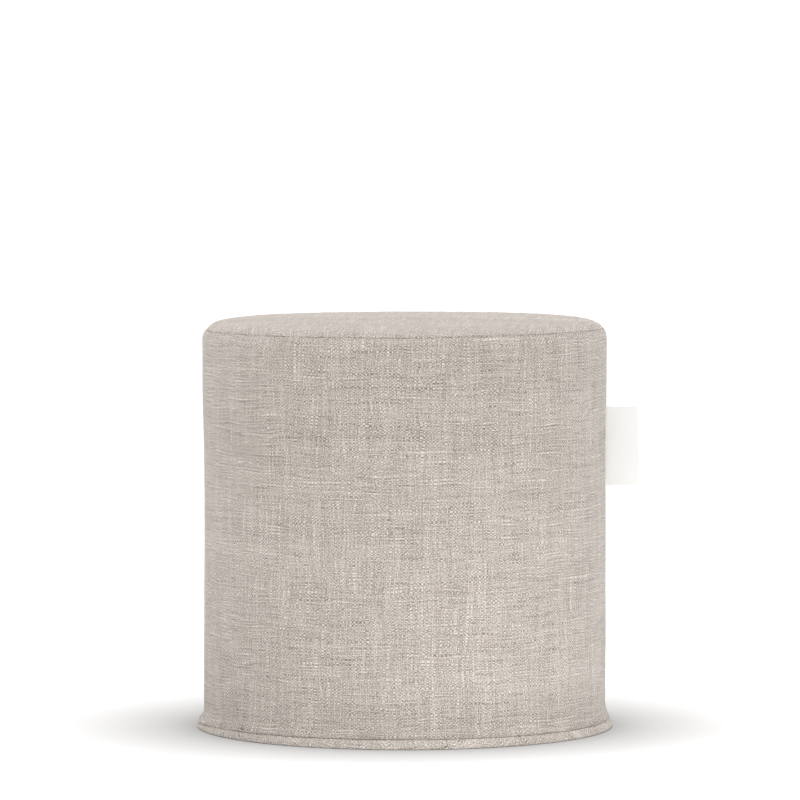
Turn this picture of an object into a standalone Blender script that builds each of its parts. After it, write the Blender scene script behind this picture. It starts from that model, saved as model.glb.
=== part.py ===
# Outdoor pouf: a filled drum of woven cloth, sewn from one band and two rounds, with a folded
# label caught in its side seam.
# Metres, +Z up. The drum's axis is Z and it stands on z = 0. The side seam and its label face +X.

import math
from collections import namedtuple

import bpy
from mathutils import Vector

# Drum
WALL_RADIUS = 0.2005        # the band half way up
SHOULDER_BULGE = 0.0010     # how much fuller the band is just under the top corner
RIM_HEIGHT = 0.4045         # top of the rounded corner
CORNER_RADIUS = 0.020
CROWN_RISE = 0.0040         # how far the middle of the top stands above the corner
TURN_STEPS = 80             # facets round the drum
CROWN_ROWS = 4              # facets from the axis to the corner
CORNER_ROWS = 5             # points round the corner above the top seam, and one more below it
MERGE_DISTANCE = 0.00001
SHARP_ANGLE = math.radians(40)

# Cloth and seams
CLOTH = 0.0020              # thickness of the top and base rounds
GAP = 0.0003                # between one piece and the next
FOOT_GAP = 0.0004           # the same at the foot, before the unevenness presses it together
TOP_SEAM_HEIGHT = 0.3980
BASE_SEAM_HEIGHT = 0.0065
SEAM_DIP = 0.0008           # how far the stitching draws the cloth in
DIP_REACH = 0.0016          # how far from the stitching the cloth starts to dip
SIDE_SEAM_WIDTH = 0.0012
SIDE_SEAM_DEPTH = 0.0012

# Base round: its edge is turned up and pressed outwards by the fill's weight
BASE_SEAM_RADIUS = 0.2036
BASE_EDGE_RADIUS = 0.2075   # where the turned-up edge stands out furthest, just above the floor
BASE_CONTACT_RADIUS = 0.2062
BASE_EDGE_ROOT = 0.1975     # inner side of the turned-up edge

# Side label, folded once
LABEL_TIP = 0.2340          # distance of its fold from the drum's axis
LABEL_BOTTOM = 0.2415
LABEL_WIDTH = 0.0780        # its edge along the seam
LABEL_CLOTH = 0.0010        # thickness of one layer
LABEL_LAYER_GAP = 0.0004    # between its two layers
LABEL_CURL = 0.0008         # how far it bows to one side
LABEL_SLOT_DEPTH = 0.0020   # how far the side seam takes it in

CORNER_CENTRE = (WALL_RADIUS + SHOULDER_BULGE - CORNER_RADIUS, RIM_HEIGHT - CORNER_RADIUS)
FILL_INSET = CLOTH + GAP
LABEL_THICKNESS = 2 * LABEL_CLOTH + LABEL_LAYER_GAP
TOP_SEAM_ANGLE = math.asin((TOP_SEAM_HEIGHT - CORNER_CENTRE[1]) / CORNER_RADIUS)
CROWN_END_ANGLE = math.radians(87)      # the corner starts at the crown's own slope

LABEL_MIDDLE = LABEL_BOTTOM + LABEL_WIDTH / 2

# The band below the corner: height, and how far it stands outside WALL_RADIUS
WallRow = namedtuple("WallRow", "height stand_off")
WALL = (
    WallRow(0.3500, 0.0010),
    WallRow(0.3000, 0.0003),
    WallRow(0.2250, 0.0000),
    WallRow(0.1000, 0.0000),
    WallRow(0.0220, 0.0000),
    WallRow(0.0160, 0.0004),
    WallRow(0.0125, 0.0016),
    WallRow(0.0100, 0.0030),
    WallRow(0.0082, 0.0038),
)

# The base round's turned-up edge below its seam: how far it stands outside the seam, as a share
# of the furthest, and its height, as a share of the seam's
EdgeRow = namedtuple("EdgeRow", "out up")
BASE_EDGE = (
    EdgeRow(0.60, 0.70),
    EdgeRow(1.00, 0.35),
    EdgeRow(0.96, 0.12),
)

# How hand sewing and weight leave the drum uneven: each wave runs round it `turns` times, is
# strongest towards `towards` degrees at `height`, and fades out over `reach` above and below
Wave = namedtuple("Wave", "direction size turns towards height reach")
WAVES = (
    Wave("up", 0.0012, 1, 0, 0.3980, 0.0130),       # the top seam climbs towards the label
    Wave("up", 0.0006, 3, 40, 0.3980, 0.0130),
    Wave("up", 0.0015, 2, 90, 0.0065, 0.0065),      # the base seam sinks at the two sides
    Wave("up", 0.0005, 1, 0, 0.0065, 0.0065),       # and most on the side away from the label
    Wave("out", 0.0005, 2, 70, 0.0120, 0.0120),
    Wave("out", 0.0004, 5, 15, 0.0120, 0.0120),
    Wave("out", 0.0004, 3, 10, 0.2000, 0.1700),     # the wall is not quite round
    Wave("out", 0.0003, 4, 65, 0.3000, 0.0900),
)
STILL_RADIUS = 0.150        # inside this distance from the axis nothing is uneven

CLOTH_COLOR = (0.545, 0.485, 0.430, 1.0)
LABEL_COLOR = (0.800, 0.770, 0.700, 1.0)


def clear_scene():
    for item in list(bpy.data.objects):
        bpy.data.objects.remove(item, do_unlink=True)


def new_collection(name):
    group = bpy.data.collections.new(name)
    bpy.context.scene.collection.children.link(group)
    return group


def new_material(name, color, roughness):
    material = bpy.data.materials.new(name)
    material.use_nodes = True
    shader = material.node_tree.nodes["Principled BSDF"]
    shader.inputs["Base Color"].default_value = color
    shader.inputs["Roughness"].default_value = roughness
    shader.inputs["Metallic"].default_value = 0.0
    return material


def corner_point(angle, inset=0.0):
    # A point on the top corner: angle is 0 at the wall and a quarter turn at the top
    radius = CORNER_RADIUS - inset
    return (CORNER_CENTRE[0] + radius * math.cos(angle), CORNER_CENTRE[1] + radius * math.sin(angle))


def corner_run(start, end, count, inset=0.0):
    return [corner_point(start + (end - start) * i / (count - 1), inset) for i in range(count)]


def crown_run(inset=0.0):
    # The top from the axis to just before the corner: a shallow dome
    edge = CORNER_CENTRE[0]
    radii = [edge * i / CROWN_ROWS for i in range(CROWN_ROWS)]
    return [(r, RIM_HEIGHT - inset + CROWN_RISE * (1 - (r / edge) ** 2)) for r in radii]


def turned(name, profile, material, group):
    # A profile from the axis, down the outer side and back to the axis, turned about Z
    mesh = bpy.data.meshes.new(name)
    points = [(radius, 0.0, height) for radius, height in profile]
    edges = [(i, i + 1) for i in range(len(points) - 1)]
    mesh.from_pydata(points, edges, [])
    mesh.materials.append(material)
    piece = bpy.data.objects.new(name, mesh)
    group.objects.link(piece)
    screw = piece.modifiers.new("Turn", "SCREW")
    screw.steps = TURN_STEPS
    screw.render_steps = TURN_STEPS
    screw.use_merge_vertices = True
    screw.merge_threshold = MERGE_DISTANCE
    return piece


def flat_outline(name, points, half_thickness, group):
    # A closed outline in the curve's own XY plane, as thick as an extrusion to both sides
    curve = bpy.data.curves.new(name, "CURVE")
    curve.dimensions = "2D"
    curve.fill_mode = "BOTH"
    curve.extrude = half_thickness
    spline = curve.splines.new("POLY")
    spline.points.add(len(points) - 1)
    for spot, (x, y) in zip(spline.points, points):
        spot.co = (x, y, 0.0, 1.0)
    spline.use_cyclic_u = True
    piece = bpy.data.objects.new(name, curve)
    group.objects.link(piece)
    return piece


def as_mesh(piece):
    # The piece with its modifiers applied and its place in its mesh, under the same name
    name = piece.name
    group = piece.users_collection[0]
    graph = bpy.context.evaluated_depsgraph_get()
    mesh = bpy.data.meshes.new_from_object(piece.evaluated_get(graph), depsgraph=graph)
    mesh.transform(piece.matrix_world)
    bpy.data.objects.remove(piece, do_unlink=True)
    solid = bpy.data.objects.new(name, mesh)
    group.objects.link(solid)
    return solid


def weld(solid):
    # A curve's caps are loose until their rims are merged
    modifier = solid.modifiers.new("Weld", "WELD")
    modifier.merge_threshold = MERGE_DISTANCE
    return as_mesh(solid)


def make_top_panel(material, group):
    # A sheet over the crown and the corner, drawn in where it meets the band
    half_gap = GAP / 2 / (CORNER_RADIUS - CLOTH)
    edge_angle = TOP_SEAM_ANGLE + half_gap
    dip_angle = edge_angle + DIP_REACH / CORNER_RADIUS
    outer = crown_run() + corner_run(CROWN_END_ANGLE, dip_angle, CORNER_ROWS)
    inner = crown_run(CLOTH) + corner_run(CROWN_END_ANGLE, edge_angle, CORNER_ROWS, CLOTH)
    outer.append(corner_point(edge_angle, SEAM_DIP))
    return turned("top_panel", outer + inner[::-1], material, group)


def side_wall_profile():
    # The band's outer side, from the top seam down to the base seam
    half_gap = GAP / 2 / (CORNER_RADIUS - CLOTH)
    edge_angle = TOP_SEAM_ANGLE - half_gap
    dip_angle = edge_angle - DIP_REACH / CORNER_RADIUS
    wall = [(WALL_RADIUS + row.stand_off, row.height) for row in WALL]
    return [corner_point(edge_angle, SEAM_DIP)] + corner_run(dip_angle, 0.0, CORNER_ROWS + 1) + wall


def make_side_panel(material, group):
    # The band with the fill it holds: under the top round, out at the seam, down the wall,
    # in over the base round's turned-up edge and across the base round
    edge_angle = TOP_SEAM_ANGLE - GAP / 2 / (CORNER_RADIUS - CLOTH)
    top = crown_run(FILL_INSET) + corner_run(CROWN_END_ANGLE, edge_angle, CORNER_ROWS, FILL_INSET)
    foot = [
        (BASE_SEAM_RADIUS + SEAM_DIP, BASE_SEAM_HEIGHT),
        (BASE_EDGE_ROOT + CLOTH, BASE_SEAM_HEIGHT - SEAM_DIP),
        (BASE_EDGE_ROOT - FOOT_GAP, BASE_SEAM_HEIGHT - CLOTH),
        (BASE_EDGE_ROOT - CLOTH - FOOT_GAP, CLOTH + FOOT_GAP),
        (0.0, CLOTH + FOOT_GAP),
    ]
    return turned("side_panel", top + side_wall_profile() + foot, material, group)


def make_base_panel(material, group):
    # A flat sheet whose edge turns up round the foot and stands out past the band
    inside = [
        (0.0, CLOTH),
        (BASE_EDGE_ROOT - CLOTH, CLOTH),
        (BASE_EDGE_ROOT, BASE_SEAM_HEIGHT - CLOTH - FOOT_GAP),
        (BASE_EDGE_ROOT + CLOTH, BASE_SEAM_HEIGHT - SEAM_DIP - FOOT_GAP),
        (BASE_SEAM_RADIUS, BASE_SEAM_HEIGHT - FOOT_GAP),
    ]
    stand_off = BASE_EDGE_RADIUS - BASE_SEAM_RADIUS
    edge = [(BASE_SEAM_RADIUS + row.out * stand_off, row.up * BASE_SEAM_HEIGHT) for row in BASE_EDGE]
    under = [(BASE_CONTACT_RADIUS, 0.0), (0.0, 0.0)]
    return turned("base_panel", inside + edge + under, material, group)


def make_side_seam_cutter(group):
    # A thin upright outline that follows the band's profile, a seam's depth inside it, and stops
    # short of the top and base seams
    outer = side_wall_profile()[2:-1]
    inside = [(r - SIDE_SEAM_DEPTH, z) for r, z in outer]
    clear = [(WALL_RADIUS + CORNER_RADIUS, outer[-1][1]), (WALL_RADIUS + CORNER_RADIUS, outer[0][1])]
    cutter = flat_outline("side_seam_cutter", inside + clear, SIDE_SEAM_WIDTH / 2, group)
    cutter.rotation_euler = (math.radians(90), 0.0, 0.0)
    return cutter


def make_label_slot_cutter(group):
    # Room in the side seam for the label's two ends
    half_width = LABEL_THICKNESS / 2 + GAP
    floor = WALL_RADIUS - LABEL_SLOT_DEPTH
    far = WALL_RADIUS + CORNER_RADIUS
    points = [(floor, -half_width), (far, -half_width), (far, half_width), (floor, half_width)]
    cutter = flat_outline("label_slot_cutter", points, LABEL_WIDTH / 2 + GAP, group)
    cutter.location.z = LABEL_MIDDLE
    return cutter


def cut(piece, cutter):
    cutter.hide_render = True
    cutter.display_type = "WIRE"
    modifier = piece.modifiers.new(cutter.name, "BOOLEAN")
    modifier.operation = "DIFFERENCE"
    modifier.solver = "EXACT"
    modifier.object = cutter


def label_side(offset, outwards):
    # One side of the folded label's section, seen from above: straight along the reach, then a
    # quarter turn into the fold. offset is the distance from the label's middle.
    root = WALL_RADIUS - LABEL_SLOT_DEPTH + GAP
    fold_centre = LABEL_TIP - LABEL_THICKNESS / 2
    rows = 6
    straight = [root + (fold_centre - root) * i / rows for i in range(rows)]
    run = [(x, outwards * offset) for x in straight]
    fold_rows = 4
    for i in range(fold_rows + 1):
        turn = math.pi / 2 * (1 - i / fold_rows)
        run.append((fold_centre + offset * math.cos(turn), outwards * offset * math.sin(turn)))
    return run


def bowed(points):
    # The label leaves the seam straight and then bows gently to one side
    root = WALL_RADIUS
    reach = LABEL_TIP - root
    return [(x, y + LABEL_CURL * max(0.0, (x - root) / reach) ** 2) for x, y in points]


def make_side_label(material, group):
    outside = LABEL_THICKNESS / 2
    inside = LABEL_LAYER_GAP / 2
    outer = label_side(outside, 1)[:-1] + label_side(outside, -1)[::-1]
    inner = label_side(inside, -1)[:-1] + label_side(inside, 1)[::-1]
    label = flat_outline("side_label", bowed(outer + inner), LABEL_WIDTH / 2, group)
    label.location.z = LABEL_MIDDLE
    label.data.materials.append(material)
    bpy.context.view_layer.update()
    return weld(as_mesh(label))


def unevenness(spot):
    # The shift of one point: the sum of the waves that reach its height
    radius = math.hypot(spot.x, spot.y)
    angle = math.atan2(spot.y, spot.x)
    strength = min(1.0, max(0.0, (radius - STILL_RADIUS) / (WALL_RADIUS - STILL_RADIUS)))
    shift = {"up": 0.0, "out": 0.0}
    for wave in WAVES:
        away = abs(spot.z - wave.height) / wave.reach
        if away < 1:
            fade = 0.5 + 0.5 * math.cos(math.pi * away)
            ripple = math.cos(wave.turns * (angle - math.radians(wave.towards)))
            shift[wave.direction] += wave.size * ripple * fade * strength
    outwards = Vector((math.cos(angle), math.sin(angle), 0.0))
    return outwards * shift["out"] + Vector((0.0, 0.0, shift["up"]))


def settle(solid):
    for vertex in solid.data.vertices:
        vertex.co += unevenness(vertex.co)
    solid.data.shade_smooth()
    solid.data.set_sharp_from_angle(angle=SHARP_ANGLE)


def main():
    clear_scene()
    pouf = new_collection("outdoor_pouf")
    cutters = new_collection("cutters")
    top_panel = make_top_panel(new_material("top_cloth", CLOTH_COLOR, 0.9), pouf)
    side_panel = make_side_panel(new_material("side_cloth", CLOTH_COLOR, 0.9), pouf)
    base_panel = make_base_panel(new_material("base_cloth", CLOTH_COLOR, 0.9), pouf)
    side_label = make_side_label(new_material("label_weave", LABEL_COLOR, 0.8), pouf)
    for make_cutter in (make_side_seam_cutter, make_label_slot_cutter):
        cutter = make_cutter(cutters)
        bpy.context.view_layer.update()
        cut(side_panel, weld(as_mesh(cutter)))
    bpy.context.view_layer.update()
    for solid in (as_mesh(top_panel), as_mesh(side_panel), as_mesh(base_panel), side_label):
        settle(solid)


main()
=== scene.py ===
# Outdoor pouf: a filled drum of slubbed cloth, sewn from one band and two rounds, with a folded
# label in its side seam. Metres, +Z up, the drum's axis on Z, its side seam and label towards +X.
import math

import bpy
import numpy as np
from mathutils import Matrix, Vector


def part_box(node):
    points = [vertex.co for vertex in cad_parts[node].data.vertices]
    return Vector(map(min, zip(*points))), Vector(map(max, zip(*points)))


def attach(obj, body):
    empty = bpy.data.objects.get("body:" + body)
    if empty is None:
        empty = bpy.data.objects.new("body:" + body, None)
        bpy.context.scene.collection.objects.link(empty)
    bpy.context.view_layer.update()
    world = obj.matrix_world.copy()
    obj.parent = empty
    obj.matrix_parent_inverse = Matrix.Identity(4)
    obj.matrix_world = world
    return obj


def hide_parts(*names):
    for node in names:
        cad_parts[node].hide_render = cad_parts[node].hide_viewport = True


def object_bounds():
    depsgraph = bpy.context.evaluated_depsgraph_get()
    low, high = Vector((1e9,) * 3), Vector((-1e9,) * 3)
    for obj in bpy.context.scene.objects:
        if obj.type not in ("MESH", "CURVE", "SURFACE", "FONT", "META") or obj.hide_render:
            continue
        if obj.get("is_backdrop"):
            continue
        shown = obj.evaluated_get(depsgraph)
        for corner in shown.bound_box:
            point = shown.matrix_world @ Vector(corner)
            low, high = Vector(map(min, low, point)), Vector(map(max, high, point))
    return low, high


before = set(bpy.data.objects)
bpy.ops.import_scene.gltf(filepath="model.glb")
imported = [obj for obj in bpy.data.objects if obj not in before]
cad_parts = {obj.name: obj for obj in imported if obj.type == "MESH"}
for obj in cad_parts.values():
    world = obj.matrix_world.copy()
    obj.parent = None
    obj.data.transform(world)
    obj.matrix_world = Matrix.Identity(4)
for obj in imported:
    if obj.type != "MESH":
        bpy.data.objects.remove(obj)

cadLow, cadHigh = (list(corner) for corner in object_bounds())
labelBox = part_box("side_label")
labelRaise = 0.0008             # how far the label sits above its plain solid
labelLow, labelHigh = labelBox[0][2] + labelRaise, labelBox[1][2] + labelRaise
print("frame loaded", [round(high - low, 4) for low, high in zip(cadLow, cadHigh)])

# ---- the drum that all the pieces share

drum = {
    "footReach": 0.0070,        # how far the foot stands outside the wall
    "shoulder": 0.0010,         # how much fuller the wall is under the top corner
    "cornerRadius": 0.0192,
    "crownRise": 0.0040,        # middle of the top above the corner
    "topSeamDrop": 0.0105,      # top seam below the middle of the top
    "footSeam": 0.0088,         # foot seam above the floor
    "columns": 1440,            # points round the drum beside the seams
    "seamColumnSpacing": 0.0006,
}
wallRadius = -cadLow[0] - drum["footReach"]
topHeight = cadHigh[2]
rimHeight = topHeight - drum["crownRise"]
cornerRadius = drum["cornerRadius"]
cornerCentre = (wallRadius + drum["shoulder"] - cornerRadius, rimHeight - cornerRadius)

# the wall below the corner: height, and how far it stands outside wallRadius
wallLine = np.array([
    (rimHeight - cornerRadius, 0.0010), (0.3500, 0.0010), (0.3000, 0.0003), (0.2250, 0.0000),
    (0.1000, 0.0000), (0.0240, 0.0000), (0.0180, 0.0003), (0.0150, 0.0012), (0.0128, 0.0024),
    (0.0110, 0.0033), (0.0098, 0.0037), (0.0088, 0.0038),
])

# how sewing and weight leave the drum uneven: each wave runs `turns` times round it, is strongest
# towards `towards` degrees at `height`, and fades out over `reach` above and below, and over
# `width` degrees round it where that isn't 0
waves = [
    # direction, size, turns, towards, height, reach, width
    ("up", 0.0012, 1, 0, 0.3980, 0.0130, 0),
    ("up", 0.0006, 3, 40, 0.3980, 0.0130, 0),
    ("up", 0.0007, 4, -39, 0.3980, 0.0130, 0),
    ("up", 0.0008, 2, 96, 0.0088, 0.0088, 0),
    ("up", 0.0004, 1, 0, 0.0088, 0.0088, 0),
    ("up", -0.0025, 0, -172, 0.0088, 0.0088, 16),
    ("up", -0.0020, 0, -172, 0.0150, 0.0100, 16),
    ("out", 0.0024, 0, -172, 0.0105, 0.0050, 16),
    ("out", 0.0006, 0, 8, 0.0170, 0.0080, 30),
    ("out", 0.0005, 2, 70, 0.0120, 0.0120, 0),
    ("out", 0.0004, 5, 15, 0.0120, 0.0120, 0),
    ("out", 0.0004, 3, 10, 0.2000, 0.1700, 0),
    ("out", 0.0003, 4, 65, 0.3000, 0.0900, 0),
]
stillRadius = 0.150             # nearer the axis than this nothing is uneven
wallStart = 600                 # the outer line's points from this one on all belong to the wall


def gently(at, places, values):
    # A smooth line through points that never overshoots them: between two points it is the cubic
    # whose end slopes are the harmonic mean of the straight slopes on either side
    slope = np.diff(values) / np.diff(places)
    pair = slope[1:] * slope[:-1]
    inner = np.where(pair > 0, 2 * pair / np.where(pair > 0, slope[1:] + slope[:-1], 1), 0)
    ends = np.concatenate(([0], inner, [slope[-1]]))
    k = np.clip(np.searchsorted(places, at) - 1, 0, len(places) - 2)
    width = places[k + 1] - places[k]
    t = (at - places[k]) / width
    return ((1 + 2 * t) * (1 - t) ** 2 * values[k] + t * (1 - t) ** 2 * width * ends[k]
            + t * t * (3 - 2 * t) * values[k + 1] - t * t * (1 - t) * width * ends[k + 1])


def makeOutline():
    # The drum's outer line from the middle of the top to the foot seam: a shallow parabola, a
    # quarter circle and the wall's own smooth line, with the length along it counted from the top seam
    crownRadius = np.linspace(0, cornerCentre[0], 400)[:-1]
    crown = (crownRadius, rimHeight + drum["crownRise"] * (1 - (crownRadius / cornerCentre[0]) ** 2))
    turn = np.linspace(math.radians(87), 0, 200)[:-1]
    corner = (cornerCentre[0] + cornerRadius * np.cos(turn), cornerCentre[1] + cornerRadius * np.sin(turn))
    height = np.linspace(wallLine[0, 0], wallLine[-1, 0], 4000)
    wall = (wallRadius + gently(height, wallLine[::-1, 0], wallLine[::-1, 1]), height)
    radius, height = (np.concatenate(part) for part in zip(crown, corner, wall))
    arc = np.concatenate(([0], np.cumsum(np.hypot(np.diff(radius), np.diff(height)))))
    seamTurn = math.asin((topHeight - drum["topSeamDrop"] - cornerCentre[1]) / cornerRadius)
    seamArc = np.interp(cornerCentre[0] + cornerRadius * math.cos(seamTurn), radius[:wallStart], arc[:wallStart])
    return arc - seamArc, radius, height


outlineArc, outlineRadius, outlineHeight = makeOutline()
crownArc, footArc = outlineArc[0], outlineArc[-1]
outlineSlope = (np.gradient(outlineRadius, outlineArc), np.gradient(outlineHeight, outlineArc))


def outlineAt(arc, depth=0.0):
    # Radius, height and outward direction on the outer line at a length from the top seam, moved
    # inwards by a depth; the outward direction is the line's own direction turned a quarter
    along = [np.interp(arc, outlineArc, part) for part in outlineSlope]
    size = np.hypot(*along)
    out, up = -along[1] / size, along[0] / size
    radius = np.interp(arc, outlineArc, outlineRadius) - out * depth
    height = np.interp(arc, outlineArc, outlineHeight) - up * depth
    return radius, height, out, up


def unevenness(radius, angle, height):
    # How far a point moves outwards and up: the sum of the waves that reach its height, each a
    # cosine round the drum times a soft fade above and below, and a bell round a place on it
    strength = np.clip((radius - stillRadius) / (wallRadius - stillRadius), 0, 1)
    shift = {"out": 0.0, "up": 0.0}
    for direction, size, turns, towards, place, reach, width in waves:
        fade = 0.5 + 0.5 * np.cos(math.pi * np.clip(np.abs(height - place) / reach, 0, 1))
        away = (angle - math.radians(towards) + math.pi) % (2 * math.pi) - math.pi
        if width:
            fade = fade * np.exp(-((away / math.radians(width)) ** 2))
        shift[direction] = shift[direction] + size * fade * strength * np.cos(turns * away)
    return shift["out"], shift["up"]


def ripples(angle, seed, shortest, longest, count=24):
    # Uneven ripples round the drum, about -1 to 1: a sum of cosines whose lengths lie between
    # two limits in metres, each starting at a place of its own
    draw = np.random.default_rng(seed)
    turns = np.round(2 * math.pi * wallRadius / draw.uniform(shortest, longest, count))
    starts = draw.uniform(0, 2 * math.pi, count)
    return sum(np.cos(t * angle + s) for t, s in zip(turns, starts)) / math.sqrt(count / 2)


def unevenSteps(start, end, coarse, spots, count=None):
    # Places from start to end, a coarse step apart and closer near each spot (place, reach, step):
    # the running sum of the steps that each stretch needs, read back at whole numbers
    fine = np.linspace(start, end, 40001)
    density = np.full(fine.shape, 1 / coarse)
    for place, reach, step in spots:
        density = np.maximum(density, 1 / coarse + (1 / step - 1 / coarse) * np.exp(-(((fine - place) / reach) ** 2)))
    total = np.concatenate(([0], np.cumsum((density[1:] + density[:-1]) / 2 * np.diff(fine))))
    count = count or round(total[-1])
    return np.interp(np.linspace(0, total[-1], count + 1), total, fine)


turnSpots = [(place, 0.035, drum["seamColumnSpacing"] / wallRadius / 4) for place in (0, 2 * math.pi)]
columnAngles = unevenSteps(0, 2 * math.pi, 2 * math.pi / drum["columns"], turnSpots, drum["columns"])


def netMesh(name, rings, flats, poles, shades=None):
    # Rings of points joined one to the next from the first pole to the last: a four-sided face at
    # each step where two rings have as many points, a five-sided one where one has half as many,
    # and a fan of triangles to each pole. flats holds each ring's place on the flat cloth, with its
    # first point again at its end.
    starts = np.cumsum([0] + [len(ring) for ring in rings])
    first = starts[-1]
    points = np.concatenate(rings + [np.array([pole[0] for pole in poles])])
    faces, places = [], []

    def corners(ring, index):
        return starts[ring] + index % len(rings[ring]), flats[ring][index]

    def pole(which, count):
        return np.full(count, first + which), np.tile(poles[which][1], (count, 1))

    def add(*sides):
        faces.append(np.stack([side[0] for side in sides], axis=1))
        places.append(np.stack([side[1] for side in sides], axis=1))

    step = np.arange(len(rings[0]))
    add(pole(0, len(step)), corners(0, step), corners(0, step + 1))
    for above in range(len(rings) - 1):
        below = above + 1
        many, few = len(rings[above]), len(rings[below])
        step = np.arange(min(many, few))
        if many == few:
            add(corners(above, step), corners(below, step), corners(below, step + 1), corners(above, step + 1))
        elif many > few:
            add(corners(above, 2 * step), corners(below, step), corners(below, step + 1),
                corners(above, 2 * step + 2), corners(above, 2 * step + 1))
        else:
            add(corners(above, step), corners(below, 2 * step), corners(below, 2 * step + 1),
                corners(below, 2 * step + 2), corners(above, step + 1))
    step = np.arange(len(rings[-1]))
    add(corners(len(rings) - 1, step), pole(1, len(step)), corners(len(rings) - 1, step + 1))

    mesh = bpy.data.meshes.new(name)
    sizes = np.concatenate([np.full(len(face), face.shape[1]) for face in faces])
    mesh.vertices.add(len(points))
    mesh.vertices.foreach_set("co", points.astype(np.float32).ravel())
    mesh.loops.add(int(sizes.sum()))
    mesh.loops.foreach_set("vertex_index", np.concatenate([face.ravel() for face in faces]).astype(np.int32))
    mesh.polygons.add(len(sizes))
    mesh.polygons.foreach_set("loop_start", np.concatenate(([0], np.cumsum(sizes)[:-1])).astype(np.int32))
    mesh.update(calc_edges=True)
    flatMap = mesh.uv_layers.new(name="clothFlat")
    spots = np.concatenate([place.reshape(-1, 2) for place in places])
    flatMap.data.foreach_set("uv", spots.astype(np.float32).ravel())
    if shades is not None:
        attribute = mesh.attributes.new("seamShade", "FLOAT", "POINT")
        attribute.data.foreach_set("value", np.concatenate(shades + [np.zeros(2)]).astype(np.float32))
    mesh.shade_smooth()
    mesh.validate()
    return mesh


def newPiece(name, mesh):
    # Puts a mesh into the scene as it is, at the origin and unturned
    piece = bpy.data.objects.new(name, mesh)
    bpy.context.scene.collection.objects.link(piece)
    return piece


# ---- how the filled cloth settles between its seams

fill = {
    "columns": 240,
    "rowStep": 0.0055,
    "innerGap": 0.045,          # the net starts this far out along the top
    "startInset": 0.0010,       # the cloth starts this far inside its place and swells out to it
    "startUneven": 0.15,        # by how much that differs from point to point, as a share
    "pressure": 4.0,
    "mass": 0.3,
    "stretch": 20,              # how hard the cloth resists stretching and bending
    "bend": 0.4,
    "quality": 6,
    "ease": 0.030,              # spare length of cloth gathered in at a seam, as a share
    "easeReach": 0.020,
    "topEase": 0.2,             # how much of it goes into the top round
    "topFade": 0.008,           # the top round is taut: its move fades over this length from the seam
    "topShare": 0.12,           # to this share
    "frames": 20,
    "mostEven": 0.0004,         # the most that a whole ring may move
    "mostMove": 0.0012,         # and a point
}


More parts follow.
